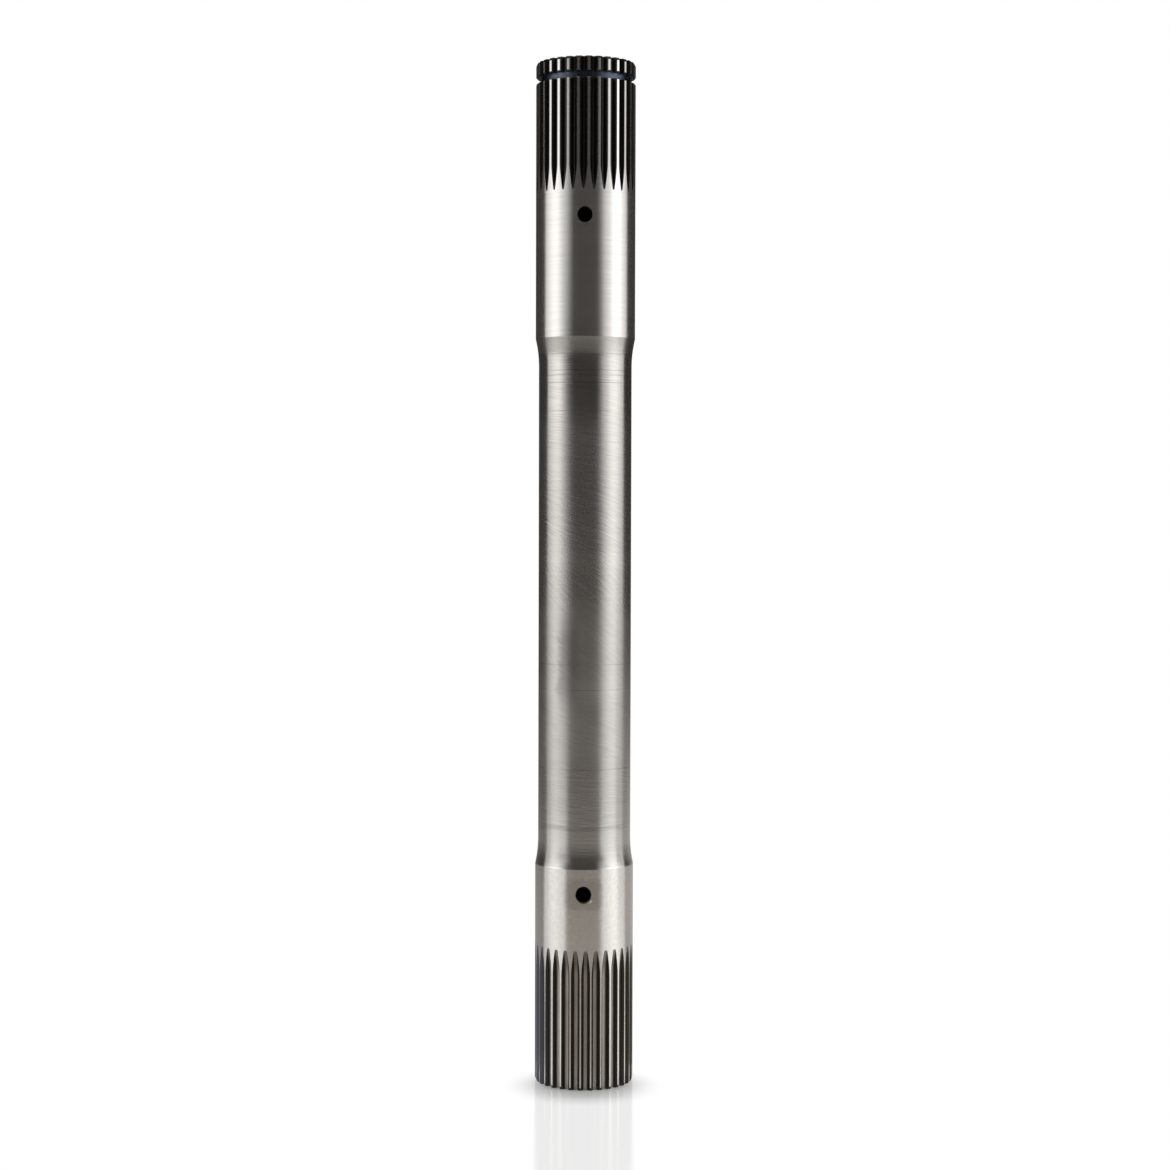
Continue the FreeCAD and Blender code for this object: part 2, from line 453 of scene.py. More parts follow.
class Finish:
    """A material or world whose nodes are written as expressions."""

    def __init__(self, owner):
        owner.use_nodes = True
        self.owner = owner
        self.tree = owner.node_tree
        self.tree.nodes.clear()

    def node(self, kind, settings=None, inputs=None, output=0):
        """Adds a node, sets it up, fills or links its sockets, and returns one of its outputs."""
        made = self.tree.nodes.new(kind)
        for name, value in (settings or {}).items():
            setattr(made, name, value)
        for name, value in (inputs or {}).items():
            if isinstance(value, Signal):
                self.tree.links.new(value.socket, made.inputs[name])
            else:
                made.inputs[name].default_value = value
        return Signal(self, made.outputs[output]) if len(made.outputs) else None

    def maths(self, operation, *values):
        return self.node("ShaderNodeMath", {"operation": operation}, dict(enumerate(values)))

    def step(self, value, low, high):
        """0 below low and 1 above high, with a smooth way between."""
        return self.node(
            "ShaderNodeMapRange", {"interpolation_type": "SMOOTHSTEP"},
            {"Value": value, "From Min": low, "From Max": high})

    def band(self, value, low, high, soft):
        """1 between low and high, and 0 outside, with soft edges."""
        return self.step(value, low - soft, low) * (1 - self.step(value, high, high + soft))

    def vector(self, x, y, z):
        return self.node("ShaderNodeCombineXYZ", None, {"X": x, "Y": y, "Z": z})

    def noise(self, place, detail=2.0, roughness=0.5):
        return self.node(
            "ShaderNodeTexNoise", None,
            {"Vector": place, "Scale": 1.0, "Detail": detail, "Roughness": roughness})

    def tint(self, amount, first, second):
        """A colour between two, each a colour or a signal."""
        return self.node(
            "ShaderNodeMix", {"data_type": "RGBA"},
            {MIX_AMOUNT: amount, MIX_FIRST: first, MIX_SECOND: second}, output=MIX_COLOUR)


# %% Places on the shaft
def mm(length):
    """A length, or a signal of lengths, in millimetres."""
    return length / MM


def place_in_mm(finish):
    """The point's x, y and height."""
    point = finish.node("ShaderNodeTexCoord", output=OBJECT_PLACE)
    split = finish.node("ShaderNodeSeparateXYZ", None, {0: point})
    return [mm(Signal(finish, socket)) for socket in split.socket.node.outputs]


def angle_at(x, y):
    """How far round the shaft a point lies from -Y, below 0 on the photo's left."""
    return x.finish.maths("ARCTAN2", x, -y)


def distance(across, up):
    """How far a point lies from where both are 0."""
    return across.finish.maths("SQRT", across * across + up * up)


def off_groove(angle, radius, turn):
    """How far round the shaft a point lies from the middle of the nearest tooth space."""
    pitch = 2 * math.pi / TOOTH_COUNT
    shifted = angle + (pitch / 2 - math.radians(turn))
    within = angle.finish.maths("FLOORED_MODULO", shifted, pitch) - pitch / 2
    return angle.finish.maths("ABSOLUTE", within * radius)


# %% Marks of the tools, and bare steel
QUARTER_TURN = 0.25
STREAK_DETAIL = 1.5


def lumps(finish, place, across, along, detail=2.0, roughness=0.5):
    """Noise with this many lumps to the millimetre across the shaft and along it."""
    x, y, z = place
    return finish.noise(finish.vector(x * across, y * across, z * along), detail, roughness)


def streaks(angle, height, radius, fall, across, along):
    """Streaks that fall round the shaft at an angle in degrees, with no seam.

    across and along are the size of a streak in millimetres.
    """
    finish = angle.finish
    slant = math.radians(fall)
    turned = angle + height * (1 / (radius * math.tan(slant)))
    spread = radius * math.sin(slant) / across
    place = finish.vector(
        finish.maths("SINE", turned) * spread,
        finish.maths("COSINE", turned) * spread,
        height * (1 / (along * math.sin(slant))))
    return finish.noise(place, STREAK_DETAIL)


def steel(colour, roughness, relief, depth, grain=0.0, glance=1.0):
    """Bare metal; relief runs from 0 to 1 and is depth metres deep.

    grain is how much the fine lines round the shaft stretch a reflection along it, and
    glance is how bright the metal turns where it is seen at a glancing angle.
    """
    finish = colour.finish
    normal = finish.node("ShaderNodeBump", None, {"Distance": depth, "Height": relief})
    shader = finish.node("ShaderNodeBsdfPrincipled", None, {
        "Base Color": colour, "Metallic": 1.0, "Roughness": roughness, "Anisotropic": grain,
        "Anisotropic Rotation": QUARTER_TURN, "Specular Tint": (glance, glance, glance, 1),
        "Normal": normal})
    finish.node("ShaderNodeOutputMaterial", None, {"Surface": shader})
    return finish.owner


def new_finish(name):
    return Finish(bpy.data.materials.new(name))


# %% [markdown]
# ## The ground lands
#
# Grinding leaves fine rings round the shaft. They spread a reflection along the shaft and
# keep it crisp across, so the upper land shows sharp upright bands. The crests between the
# upper teeth belong to it, and turn dark at their rounded edges.
#
# The lower land is duller and slightly mottled, with a faint darker patch round its oil hole
# where the deburring tool dwelt, and one bright burr that it left at the hole's edge. Painted
# shade darkens the crests of its teeth towards the left.

# %% Upper land
UPPER_TEETH_END = mm(LENGTH - UPPER_TEETH["length"])
UPPER_CRESTS = (UPPER_TEETH_END - 4, UPPER_TEETH_END)
CREST_EDGE = math.pi / TOOTH_COUNT * mm(UPPER_RADIUS) - mm(UPPER_TEETH["crest"]) / 2
CREST_ROUNDING = 0.3
OUTER_SKIN = (mm(UPPER_RADIUS) - 0.3, mm(UPPER_RADIUS) - 0.1)
ROUNDED_EDGE = (0.05, 0.05, 0.05, 1)


def upper_land():
    finish = new_finish("upper_land_steel")
    place = x, y, z = place_in_mm(finish)
    rings = lumps(finish, place, 0.04, 2.2, detail=3, roughness=0.6)
    broad = lumps(finish, place, 0.08, 0.06)
    colour = finish.tint(rings, (0.53, 0.515, 0.49, 1), (0.68, 0.665, 0.64, 1))
    off = off_groove(angle_at(x, y), mm(UPPER_RADIUS), UPPER_TEETH["turn"])
    rounded = 1 - finish.step(off, CREST_EDGE, CREST_EDGE + CREST_ROUNDING)
    on_crest = finish.step(z, *UPPER_CRESTS) * finish.step(distance(x, y), *OUTER_SKIN)
    colour = finish.tint(rounded * on_crest * 0.85, colour, ROUNDED_EDGE)
    roughness = 0.19 + 0.06 * rings + 0.04 * broad
    return steel(colour, roughness, rings, 0.006 * MM, grain=0.6)


# %% Lower land
LOWER_TEETH_END = mm(LOWER_TEETH["length"])
LOWER_CRESTS = (LOWER_TEETH_END, LOWER_TEETH_END + 6)
# Where the painted shade on the left of the crests lies, and its colour.
PAINTED_LEFT_ANGLES = (0.95, 1.15)
PAINTED_LEFT_SHADE = (0.20, 0.20, 0.22, 1)
PATCH_HALF_WIDTH = 6.6
PATCH_HALF_HEIGHT = 4.9
PATCH_EDGE = (0.8, 2.4)
PATCH = (0.40, 0.37, 0.345, 1)
BURR_ACROSS = 2.15
BURR_HEIGHT = mm(LOWER_HOLE_HEIGHT) - 2.05
BURR_RADIUS = 0.65


def lower_land():
    finish = new_finish("lower_land_steel")
    place = x, y, z = place_in_mm(finish)
    angle = angle_at(x, y)
    rings = lumps(finish, place, 0.06, 2.4, detail=3, roughness=0.6)
    mottle = lumps(finish, place, 0.9, 0.9, detail=4, roughness=0.6)
    across = angle * (mm(LOWER_RADIUS) / PATCH_HALF_WIDTH)
    along = (z - mm(LOWER_HOLE_HEIGHT)) / PATCH_HALF_HEIGHT
    patch = 1 - finish.step(across ** 4 + along ** 4 + mottle * 1.2, *PATCH_EDGE)
    # Painted shade: the crests are darkened towards the left side.
    painted_left_shade = finish.step(-angle, *PAINTED_LEFT_ANGLES) * (1 - finish.step(z, *LOWER_CRESTS))
    burr = 1 - finish.step(distance(x - BURR_ACROSS, z - BURR_HEIGHT), 0, BURR_RADIUS)
    colour = finish.tint(mottle, (0.58, 0.555, 0.525, 1), (0.76, 0.74, 0.70, 1))
    colour = finish.tint(patch * 0.45, colour, PATCH)
    colour = finish.tint(painted_left_shade * 0.6, colour, PAINTED_LEFT_SHADE)
    roughness = 0.21 + 0.07 * mottle
    relief = rings * 0.4 + mottle * 0.4 + burr * 5
    return steel(colour, roughness, relief, 0.035 * MM, grain=0.8)


# %% [markdown]
# ## The belt-polished neck
#
# A sanding belt was held against the turning neck, so its scratches fall round it at a
# slant that changes as the belt is moved along. At both ends, where the belt couldn't
# reach, the rings of the turning tool are left. Such scratches are noise stretched along a
# helix: the angle round the shaft is turned with the height, and its sine and cosine are
# used, so that no seam shows at the back. They have real depth, because what shows on the
# photograph is how they fray the edges of the reflections.
#
# Where the neck flares towards the ends, painted shade darkens its sides, and a painted sheen
# and a painted highlight brighten the lower flare and the very edge of the lower shoulder. A
# smear of painted shade lies left of the front.

# %% Belt scratches
STEEP = {"fall": 38, "across": 0.48, "along": 7}
SLANTED = {"fall": 21, "across": 0.44, "along": 7}
FLAT = {"fall": 7, "across": 0.37, "along": 8}
STEEP_STRETCH = (138, 166)
SLANTED_STRETCH = (112, 196)
BELT_SOFTNESS = 14
FLAT_DEPTH = 0.6


def belt_scratches(angle, z):
    """The belt's scratches on the neck, and how deep they go at this height."""
    finish = angle.finish
    radius = mm(NECK_RADIUS)
    steep = streaks(angle, z, radius, **STEEP)
    slanted = streaks(angle, z, radius, **SLANTED)
    flat = streaks(angle, z, radius, **FLAT)
    steep_share = finish.band(z, *STEEP_STRETCH, BELT_SOFTNESS)
    slanted_share = finish.band(z, *SLANTED_STRETCH, BELT_SOFTNESS) * (1 - steep_share)
    flat_share = 1 - finish.maths("MAXIMUM", steep_share, slanted_share)
    scratches = steep * steep_share + slanted * slanted_share + flat * flat_share
    return scratches, 1 - (1 - FLAT_DEPTH) * flat_share


# %% Ring marks
RING_MARKS = [
    (240.3, 0.12), (234.9, 0.16), (233.4, 0.16), (230.9, 0.2), (221.7, 0.12), (139.2, 0.12),
    (131.0, 0.1), (105.0, 0.1), (85.9, 1.1),
]
MARK_WANDER = 0.15
MARK_CORE = 0.4
MARK_SOFTNESS = 0.12
MARK_BREAKS = (0.34, 0.56)


def ring_marks(finish, place):
    """Lines that the turning tool left where it dwelt, fading in and out round the neck."""
    z = place[2]
    wander = (lumps(finish, place, 0.12, 0.02) - 0.5) * MARK_WANDER
    marks = 0.0
    for height, half in RING_MARKS:
        off = finish.maths("ABSOLUTE", z + wander - height)
        marks = (1 - finish.step(off, half * MARK_CORE, half + MARK_SOFTNESS)) + marks
    return marks * finish.step(lumps(finish, place, 0.09, 1.3), *MARK_BREAKS)


# %% Neck
UPPER_FLARE = (mm(UPPER_EDGE) - 7, mm(UPPER_EDGE) - 4)
LOWER_FLARE = (mm(LOWER_EDGE) + 3, mm(LOWER_EDGE) + 22)
LOWER_CORNERS = (mm(LOWER_EDGE) + 4, mm(LOWER_EDGE) + 9)
LOWER_SHOULDER = (mm(LOWER_EDGE) + 3.5, mm(LOWER_EDGE) + 5.5)
LOWER_BRINK = (mm(LOWER_EDGE) + 0.3, mm(LOWER_EDGE) + 0.7)
WORN_STRETCH = (114, 150, 14)
TURNED_ABOVE = (212, 230)
# Where the smear of painted shade lies, left of the front, and how far the belt frays its edge.
PAINTED_SMEAR_STRETCH = (133, 147, 11)
PAINTED_SMEAR_FROM, PAINTED_SMEAR_TO = (-0.47, -0.29), (-0.3, 0.0)
PAINTED_SMEAR_FRAY = 0.35
# Places and colours of the painted shade, sheen and highlights on the neck.
LEFT_SIDE, RIGHT_SIDE, BOTH_SIDES = (0.3, 0.7), (0.85, 1.0), (0.92, 1.08)
PAINTED_SHADE = (0.16, 0.155, 0.15, 1)
PAINTED_CORNER_SHADE = (0.24, 0.235, 0.23, 1)
PAINTED_FLARE_SHEEN = (0.68, 0.66, 0.63, 1)
PAINTED_BRINK_HIGHLIGHT = (0.92, 0.91, 0.89, 1)


def neck_tints(finish, angle, z, belt):
    """The painted shade, sheen and highlights on the neck, as pairs of a share and a colour."""
    upper_flare = finish.step(z, *UPPER_FLARE)
    beside = finish.step(finish.maths("ABSOLUTE", angle), *BOTH_SIDES)
    # A smear of painted shade left of the front, its edge frayed by the belt's scratches.
    painted_smear = finish.step(angle + belt * PAINTED_SMEAR_FRAY, *PAINTED_SMEAR_FROM)
    painted_smear = painted_smear * (1 - finish.step(angle, *PAINTED_SMEAR_TO))
    return [
        # Painted sheen on the lower flare.
        ((1 - finish.step(z, *LOWER_FLARE)) * 0.5, PAINTED_FLARE_SHEEN),
        # Painted shade at the sides of the upper flare.
        (finish.step(-angle, *LEFT_SIDE) * upper_flare * 0.3, PAINTED_SHADE),
        (finish.step(angle, *RIGHT_SIDE) * upper_flare * 0.7, PAINTED_SHADE),
        # Painted shade at the sides of the lower flare.
        (beside * (1 - finish.step(z, *LOWER_CORNERS)) * 0.5, PAINTED_CORNER_SHADE),
        # Painted highlight on the very edge of the lower shoulder.
        ((1 - finish.step(z, *LOWER_BRINK)) * 0.35, PAINTED_BRINK_HIGHLIGHT),
        (painted_smear * finish.band(z, *PAINTED_SMEAR_STRETCH) * 0.5, PAINTED_SHADE),
    ]


def neck():
    finish = new_finish("neck_steel")
    place = x, y, z = place_in_mm(finish)
    angle = angle_at(x, y)
    belt, belt_depth = belt_scratches(angle, z)
    rings = lumps(finish, place, 0.05, 2.0, detail=3, roughness=0.65)
    patches = lumps(finish, place, 0.07, 0.05, detail=1)
    marks = ring_marks(finish, place)
    fine = rings * 0.4 + belt * 0.6
    colour = finish.tint(fine, (0.36, 0.34, 0.32, 1), (0.62, 0.60, 0.57, 1))
    colour = finish.tint(marks * 0.35, colour, (0.14, 0.13, 0.12, 1))
    # Painted shade, sheen and highlights are laid over the neck's colour.
    for share, there in neck_tints(finish, angle, z, belt):
        colour = finish.tint(share, colour, there)
    shoulder = 1 - finish.step(z, *LOWER_SHOULDER)
    roughness = 0.20 + 0.08 * patches + 0.05 * belt + 0.05 * finish.band(z, *WORN_STRETCH)
    roughness = roughness - 0.07 * finish.step(z, *TURNED_ABOVE) - 0.04 * shoulder
    roughness = roughness + 0.11 * finish.step(z, *UPPER_FLARE)
    roughness = roughness - 0.04 * (1 - finish.step(z, *LOWER_FLARE))
    relief = (belt * belt_depth + rings * 0.15 - marks * 0.2) * (1 - 0.8 * shoulder)
    return steel(colour, roughness, relief, 0.045 * MM, grain=0.5)


# %% [markdown]
# ## Tooth spaces, ring groove and bore
#
# Nothing was ground here, so the steel kept the dark skin of its hardening: nearly black
# above, and a brownish grey below, where the mating teeth and dirt rubbed the floors lighter.
# Towards the left a bluish reflection of the cloth there is painted in. A floor is told from a
# flank by how far it lies from the middle of its tooth space. The oil holes are painted nearly
# black as shade in the hole, with a brownish tinge in the countersink.

# %% Tooth spaces
FLOOR_HALF_WIDTH = 0.72
RUBBED_EDGE = (FLOOR_HALF_WIDTH - 0.12, FLOOR_HALF_WIDTH + 0.16)
LOWER_RUN_OUT = (LOWER_TEETH_END, LOWER_TEETH_END + 5)
# Where the painted bluish reflection lies.
PAINTED_BLUE_ANGLES = (0.8, 1.1)


def lower_spaces():
    finish = new_finish("lower_tooth_space_steel")
    place = x, y, z = place_in_mm(finish)
    angle = angle_at(x, y)
    lines = lumps(finish, place, 1.6, 0.12, detail=3)
    cloud = lumps(finish, place, 0.25, 0.12)
    off = off_groove(angle, mm(LOWER_RADIUS), LOWER_TEETH["turn"])
    rubbed = 1 - finish.step(off, *RUBBED_EDGE)
    run_out = finish.step(z, *LOWER_RUN_OUT)
    worn = finish.tint(cloud, (0.50, 0.46, 0.41, 1), (0.36, 0.335, 0.305, 1))
    colour = finish.tint(rubbed * (1 - 0.6 * run_out), (0.055, 0.047, 0.041, 1), worn)
    colour = finish.tint(lines * 0.3, colour, (0.13, 0.112, 0.10, 1))
    # Painted reflection: a bluish tint towards the left, as the bluish cloth there would give.
    painted_blue = finish.step(-angle, *PAINTED_BLUE_ANGLES)
    colour = finish.tint(painted_blue * 0.6, colour, (0.17, 0.18, 0.22, 1))
    return steel(colour, 0.34 + 0.12 * lines, lines, 0.01 * MM)


def upper_spaces():
    finish = new_finish("upper_tooth_space_steel")
    lines = lumps(finish, place_in_mm(finish), 1.6, 0.12, detail=3)
    colour = finish.tint(lines, (0.022, 0.021, 0.020, 1), (0.060, 0.057, 0.052, 1))
    return steel(colour, 0.26 + 0.15 * lines, lines, 0.008 * MM)


# %% Ring groove, bore and oil holes
def ring_groove_steel():
    finish = new_finish("ring_groove_steel")
    rings = lumps(finish, place_in_mm(finish), 0.1, 3.0)
    colour = finish.tint(rings, (0.050, 0.062, 0.082, 1), (0.095, 0.112, 0.142, 1))
    return steel(colour, 0.28 + 0.10 * rings, rings, 0.004 * MM, grain=0.5, glance=0.15)


def bore_steel():
    finish = new_finish("bore_steel")
    rings = lumps(finish, place_in_mm(finish), 0.2, 2.0)
    colour = finish.tint(rings, (0.16, 0.145, 0.13, 1), (0.24, 0.22, 0.20, 1))
    return steel(colour, 0.40 + 0.10 * rings, rings, 0.006 * MM)


# Painted shade: the oil holes are coloured nearly black, as their insides lie in shade.
def hole_steel():
    finish = new_finish("oil_hole_steel")
    x, y, z = place_in_mm(finish)
    cloud = finish.noise(finish.vector(x * 1.2, y * 0.4, z * 1.2))
    colour = finish.tint(cloud, (0.016, 0.014, 0.008, 1), (0.060, 0.053, 0.034, 1))
    return steel(colour, 0.36 + 0.08 * cloud, cloud, 0.010 * MM)


# %% All eight finishes
finishes = {
    "upper_land": upper_land(), "lower_land": lower_land(), "neck": neck(),
    "upper_spaces": upper_spaces(), "lower_spaces": lower_spaces(),
    "ring_groove": ring_groove_steel(), "bore": bore_steel(), "oil_hole": hole_steel(),
}
print("finishes:", ", ".join(finishes))

# %% [markdown]
# ## Cutting
#
# The shaft gets all eight materials first, and each face of the blank is given its finish by
# its place. Each tool then brings its own finish into the cut that it makes.

# %% Give every face of the blank its finish
order = list(finishes)
for material in finishes.values():
    shaft.data.materials.append(material)


def finish_at(face):
    """Which finish a face of the blank has, from where its middle lies."""
    height = face.center.z
    radius = math.hypot(*face.center.xy)
    if radius < CENTRE_RADIUS:
        return "bore"
    if LENGTH - END_CHAMFER_LENGTH < height < LENGTH - NEAR:
        return "upper_spaces"
    if NEAR < height < END_CHAMFER_LENGTH:
        return "lower_spaces"
    over_groove_wall = height - RING_GROOVE_HEIGHT + RING_GROOVE_WIDTH / 2
    in_groove = -NEAR < over_groove_wall < RING_GROOVE_WIDTH + RING_GROOVE_CHAMFER
    if in_groove and radius < UPPER_RADIUS - NEAR:
        return "ring_groove"
    if height < LOWER_EDGE:
        return "lower_land"
    if height > UPPER_EDGE:
        return "upper_land"
    return "neck"


for face in shaft.data.polygons:
    face.material_index = order.index(finish_at(face))

# %% Cut the teeth and the holes
def cut(piece, tool, material):
    """Takes the tool's solid out of the piece, and then puts the tool away."""
    tool.data.materials.clear()
    tool.data.materials.append(material)
    start_fresh()
    piece.select_set(True)
    bpy.context.view_layer.objects.active = piece
    bpy.ops.object.modifier_add(type="BOOLEAN")
    boolean = piece.modifiers[-1]
    boolean.operation = "DIFFERENCE"
    boolean.solver = "EXACT"
    boolean.material_mode = "TRANSFER"
    boolean.object = tool
    bpy.ops.object.modifier_apply(modifier=boolean.name)
    bpy.data.objects.remove(tool)


for tool, key in [(lower_hob, "lower_spaces"), (upper_hob, "upper_spaces"),
                  (lower_drill, "oil_hole"), (upper_drill, "oil_hole")]:
    cut(shaft, tool, finishes[key])
    print("after", key, triangles(shaft), "triangles,", open_edges(shaft), "open edges")
print([material.name for material in shaft.data.materials])

# %% [markdown]
# ## Edges
#
# Everything that was turned or hobbed is smooth to the eye, and the edges between cuts are
# crisp. The shoulders of the neck turn by only 13 degrees, so the limit lies below that.

# %% Smooth faces and crisp edges
CRISP_ABOVE = 12

start_fresh()
shaft.select_set(True)
bpy.context.view_layer.objects.active = shaft
bpy.ops.object.shade_smooth_by_angle(angle=math.radians(CRISP_ABOVE))
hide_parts("main_shaft")
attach(shaft, "root")

# %% [markdown]
# ## The studio
#
# Bare metal shows its surroundings and hardly anything else. The photograph's upright bands
# are a bright wall on each side, a dark camera side in front, and dark cloth behind to give
# the shaft its edges. Walls that only show in reflections are the way to get them here: the
# floor and the background stay white from everywhere, and two lamps light the floor.

# %% World
AMBIENT = 0.56


def background():
    """White to the eye and in reflections, and dimmer as a light."""
    finish = Finish(bpy.data.worlds.new("white_studio"))
    bpy.context.scene.world = finish.owner
    rays = finish.node("ShaderNodeLightPath").socket.node.outputs
    seen = Signal(finish, rays["Is Camera Ray"]) + Signal(finish, rays["Is Glossy Ray"])
    seen = seen + Signal(finish, rays["Is Transmission Ray"])
    seen = finish.maths("MINIMUM", seen, 1.0)
    light = finish.node(
        "ShaderNodeBackground", None,
        {"Color": (1, 1, 1, 1), "Strength": AMBIENT + seen * (1 - AMBIENT)})
    finish.node("ShaderNodeOutputWorld", None, {"Surface": light})


background()

# %% [markdown]
# ### The floor
#
# The floor shines by itself, so that it is as white as the background. Round the foot it is
# plain paper, on which a real shadow falls, and before the foot it mirrors the shaft faintly.
# The mirror ends just behind the foot, where it would only show the tent's dark cloth.

# %% Floor
FLOOR_HALF = 3.0
SHADOW_SHIFT = 9.5
SHADOW_REACH = (9, 27)
MIRROR_SHARE = 0.17
MIRROR_ROUGHNESS = 0.12
MIRROR_REACH = (110, 150)
MIRROR_SLIMNESS = 3.7
MIRROR_BACK = (-10, 25)
PAPER = (0.96, 0.96, 0.96, 1)
WHITE = (1, 1, 1, 1)


def floor_finish():
    finish = new_finish("white_floor")
    x, y, _ = place_in_mm(finish)
    near = 1 - finish.step(distance(x, y + SHADOW_SHIFT), *SHADOW_REACH)
    lit = finish.node("ShaderNodeBsdfDiffuse", None, {"Color": PAPER})
    white = finish.node("ShaderNodeEmission", None, {"Color": WHITE, "Strength": 1.0})
    paper = finish.node("ShaderNodeMixShader", None, {0: near, 1: white, 2: lit})
    mirror = finish.node(
        "ShaderNodeBsdfGlossy", None, {"Color": WHITE, "Roughness": MIRROR_ROUGHNESS})
    oval = 1 - finish.step(distance(x * MIRROR_SLIMNESS, y), *MIRROR_REACH)
    before = 1 - finish.step(y, *MIRROR_BACK)
    share = MIRROR_SHARE * oval * before
    surface = finish.node("ShaderNodeMixShader", None, {0: share, 1: paper, 2: mirror})
    finish.node("ShaderNodeOutputMaterial", None, {"Surface": surface})
    return finish.owner


start_fresh()
bpy.ops.mesh.primitive_plane_add(size=2 * FLOOR_HALF, location=(0, 0, 0))
floor = bpy.context.object
floor.name = "floor"
floor.data.materials.append(floor_finish())

# %% [markdown]
# ### The tent
#
# A cloth tent stands round the shaft, from the floor up, and each panel of it is lit to its
# own level. One surface spun from a bent line makes the tent, and its panels are bands of
# brightness between two angles, laid over each other with soft edges. A panel can be darker
# or brighter on the floor than on the wall, because the two ends of the shaft mirror
# different heights of it.
#
# A panel lies between two angles in degrees, which soften inwards. "reach" says between which
# distances it changes from its first level to its second. "along" holds it to a stretch of
# those distances, and gives the softness of its ends. A distance is counted in millimetres
# from the shaft outwards over the floor and then, stretched, up the wall.

# %% The tent's panels
WALL_STRETCH = 1.5
WARM = (1.08, 1, 0.93)
PANELS = [
    # A bright wall on each side.
    {"angles": (-104.5, -50), "soft": (30, 20), "levels": (1.18, 1.75), "reach": (720, 1050)},
    {"angles": (50, 110), "soft": (22, 30), "levels": (1.3, 1.9), "reach": (700, 950)},
    # Their back edges are dimmer for the lower half of the shaft.
    {"angles": (-104.5, -80), "soft": (0.5, 18), "levels": (0.90, 0.62), "reach": (400, 620),
     "along": (300, 800, 60)},
    {"angles": (81, 112), "soft": (8, 1), "levels": (0.90, 0.70), "reach": (400, 620),
     "along": (300, 800, 60)},
    # Dark cloth behind, on the left with a bluish floor at the foot, and on the right.
    {"angles": (-172, -104.5), "soft": (0.5, 0.5), "levels": (0.36, 0.045), "reach": (270, 800),
     "colour": (1.05, 1, 0.96)},
    {"angles": (-172, -60), "soft": (0.5, 40), "levels": (0.30, 0.30), "reach": (300, 850),
     "along": (0, 120, 90), "colour": (0.90, 1, 1.22)},
    {"angles": (110, 172), "soft": (0.5, 0.5), "levels": (0.50, 0.045), "reach": (530, 800),
     "colour": (1.04, 1, 0.97)},
    {"angles": (108, 172), "soft": (4, 0.5), "levels": (0.22, 0.22), "reach": (300, 850),
     "along": (0, 120, 90)},
    # The dark camera side, crisp for the lower parts and softer above.
    {"angles": (-48.5, 47), "soft": (12, 12), "levels": (0.45, 0.055), "reach": (150, 830),
     "along": (-50, 720, 60), "colour": WARM},
    {"angles": (-50, 52), "soft": (24, 25), "levels": (0.45, 0.055), "reach": (150, 830),
     "along": (720, 3000, 60), "colour": WARM},
    # It is wider on the right for the middle of the neck, and on the left for its top.
    {"angles": (10, 57), "soft": (16, 18), "levels": (0.45, 0.055), "reach": (150, 830),
     "along": (740, 835, 45), "colour": WARM},
    {"angles": (-62, -20), "soft": (26, 14), "levels": (0.075, 0.055), "reach": (450, 850),
     "along": (890, 1045, 50)},
    # A black strip for the flares, and a wider left side for the lower half of the neck.
    {"angles": (-52, 51), "soft": (22, 18), "levels": (0.035, 0.035), "reach": (300, 850),
     "along": (1000, 1035, 35)},
    {"angles": (-84, -20), "soft": (36, 14), "levels": (0.075, 0.055), "reach": (450, 850),
     "along": (700, 770, 30)},
]


def panel_over(light, degrees, along, panel):
    """One panel laid over the light that's there already."""
    finish = degrees.finish
    start, end = panel["angles"]
    start_soft, end_soft = panel["soft"]
    inside = finish.step(degrees, start, start + start_soft)
    inside = (1 - finish.step(degrees, end - end_soft, end)) * inside
    if "along" in panel:
        inside = finish.band(along, *panel["along"]) * inside
    low, high = panel["levels"]
    level = low + (high - low) * finish.step(along, *panel["reach"])
    parts = [level * part for part in panel.get("colour", (1, 1, 1))]
    shade = finish.node("ShaderNodeCombineColor", None, dict(zip(("Red", "Green", "Blue"), parts)))
    return finish.tint(inside, light, shade)


def tent_finish():
    """The panels' light on the inside of the tent, and nothing on its outside."""
    finish = new_finish("tent_cloth")
    x, y, z = place_in_mm(finish)
    degrees = angle_at(x, y) * math.degrees(1)
    along = distance(x, y) + z * WALL_STRETCH
    light = WHITE
    for panel in PANELS:
        light = panel_over(light, degrees, along, panel)
    cloth = finish.node("ShaderNodeEmission", None, {"Color": light, "Strength": 1.0})
    clear = finish.node("ShaderNodeBsdfTransparent")
    back = Signal(finish, finish.node("ShaderNodeNewGeometry").socket.node.outputs["Backfacing"])
    surface = finish.node("ShaderNodeMixShader", None, {0: back, 1: cloth, 2: clear})
    finish.node("ShaderNodeOutputMaterial", None, {"Surface": surface})
    return finish.owner


# %% The tent
TENT_ANGLE = 172
TENT_STEPS = 128
TENT_OUTLINE = [
    (0.03, 0.0005), (0.2, 0.0005), (0.4, 0.0005), (0.52, 0.02), (0.60, 0.09), (0.62, 0.2),
    (0.62, 1.0),
]
SEED_SIZE = 0.01


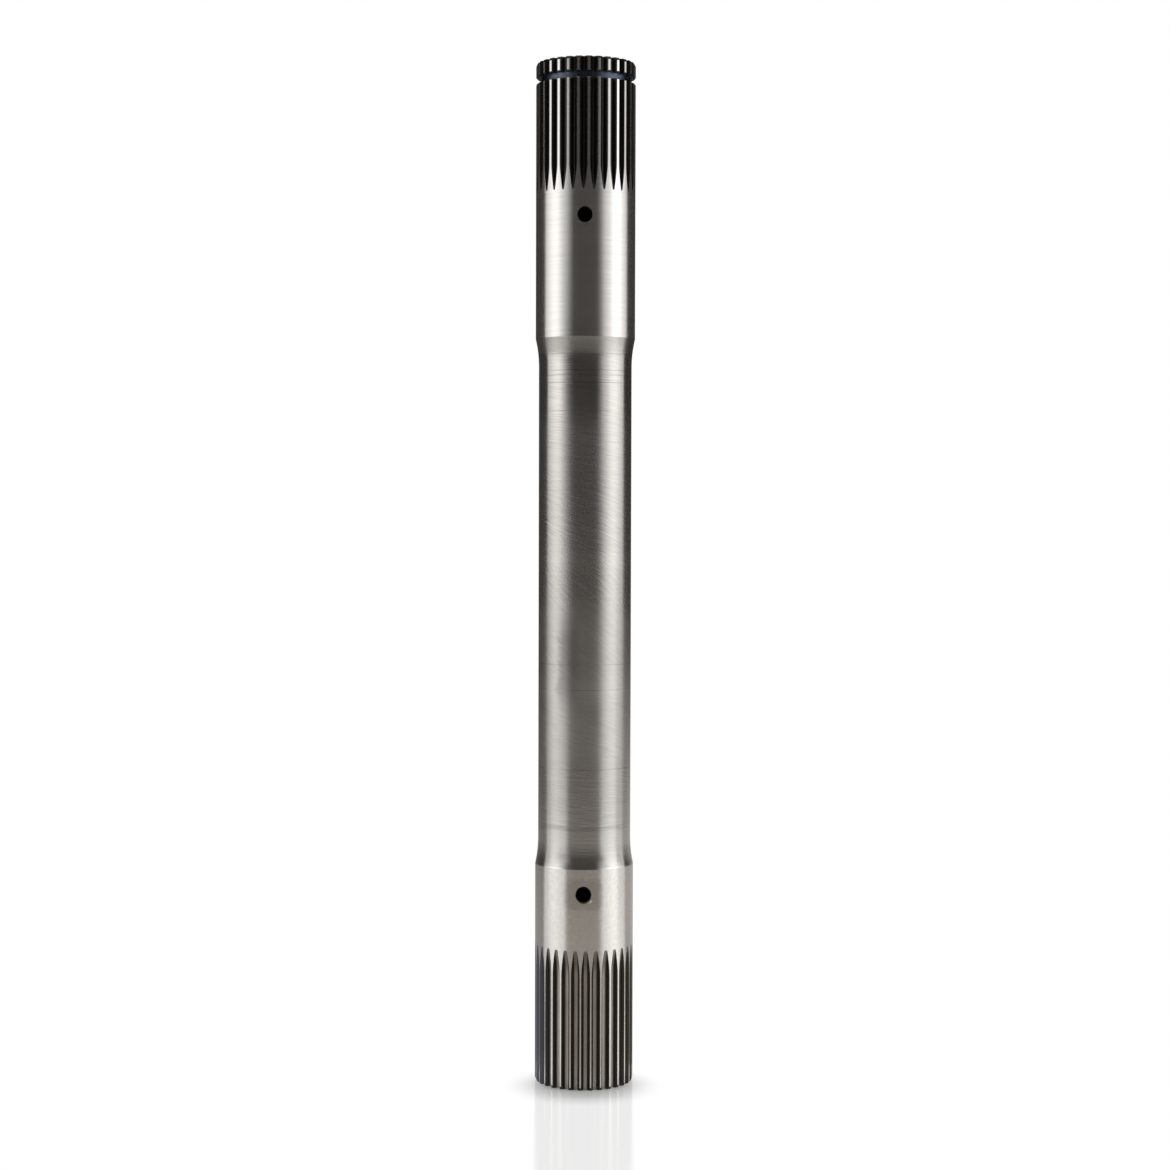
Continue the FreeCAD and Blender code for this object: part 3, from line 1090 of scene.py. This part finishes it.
def spun_tent():
    """The tent's bent line, extruded from one point, and spun round the shaft."""
    start_fresh()
    angle = math.radians(-TENT_ANGLE)
    radius, height = TENT_OUTLINE[0]
    bpy.ops.mesh.primitive_plane_add(
        size=SEED_SIZE, location=(radius * math.sin(angle), -radius * math.cos(angle), height))
    tent = bpy.context.object
    tent.name = "tent"
    bpy.ops.object.transform_apply(location=True)
    edit(tent)
    bpy.ops.mesh.merge(type="CENTER")
    for next_radius, next_height in TENT_OUTLINE[1:]:
        out = next_radius - radius
        bpy.ops.mesh.extrude_region_move(TRANSFORM_OT_translate={
            "value": (out * math.sin(angle), -out * math.cos(angle), next_height - height)})
        radius, height = next_radius, next_height
    bpy.ops.mesh.select_all(action="SELECT")
    bpy.ops.mesh.spin(
        steps=TENT_STEPS, angle=-math.radians(2 * TENT_ANGLE), center=(0, 0, 0), axis=(0, 0, 1))
    bpy.ops.object.mode_set(mode="OBJECT")
    return tent


tent = spun_tent()
tent.data.materials.append(tent_finish())
tent.visible_camera = False
tent.visible_diffuse = False
tent.visible_shadow = False
tent.visible_transmission = False
up = sum(face.normal.z for face in tent.data.polygons)
print("tent:", len(tent.data.polygons), "faces, turned", "up" if up > 0 else "down")

# %% Soft boxes
LAMP_DISTANCE = 0.9
LAMP_WIDTH = 0.42
LAMP_HEIGHT = 1.6
LAMP_POWER = 2.0
LEFT_LAMP_ANGLE = -71
RIGHT_LAMP_ANGLE = 76


def soft_box(name, degrees):
    """An upright lamp at this angle round the shaft, turned towards it."""
    angle = math.radians(degrees)
    across, back = LAMP_DISTANCE * math.sin(angle), -LAMP_DISTANCE * math.cos(angle)
    start_fresh()
    bpy.ops.object.light_add(
        type="AREA", location=(across, back, LAMP_HEIGHT / 2), rotation=(math.pi / 2, 0, angle))
    lamp = bpy.context.object
    lamp.name = name
    lamp.data.shape = "RECTANGLE"
    lamp.data.size = LAMP_WIDTH
    lamp.data.size_y = LAMP_HEIGHT
    lamp.data.energy = LAMP_POWER
    lamp.visible_camera = False
    lamp.visible_glossy = False


soft_box("left_soft_box", LEFT_LAMP_ANGLE)
soft_box("right_soft_box", RIGHT_LAMP_ANGLE)

# %% [markdown]
# ## The camera
#
# The horizon, the bow of the shaft's round edges and its length in the photograph fix the
# camera: a short telephoto lens, a little above the middle of the shaft, tipped down by two
# degrees, a hair to the right of the oil holes, and very slightly rolled.

# %% Camera
CAMERA_DISTANCE = 0.7608
CAMERA_HEIGHT = 0.1929
CAMERA_SIDE = 0.8
CAMERA_TIP = 2.12
CAMERA_ROLL = -0.143
LENS = 70.8
SENSOR = 36.0
NEAREST_SEEN = 0.01

start_fresh()
side = math.radians(CAMERA_SIDE)
across, back = CAMERA_DISTANCE * math.sin(side), -CAMERA_DISTANCE * math.cos(side)
bpy.ops.object.camera_add(
    location=(across, back, CAMERA_HEIGHT),
    rotation=(math.radians(90 - CAMERA_TIP), math.radians(CAMERA_ROLL), side))
camera = bpy.context.object
camera.data.lens = LENS
camera.data.sensor_width = SENSOR
camera.data.clip_start = NEAREST_SEEN
bpy.context.scene.camera = camera
bpy.context.scene.view_settings.view_transform = "Standard"
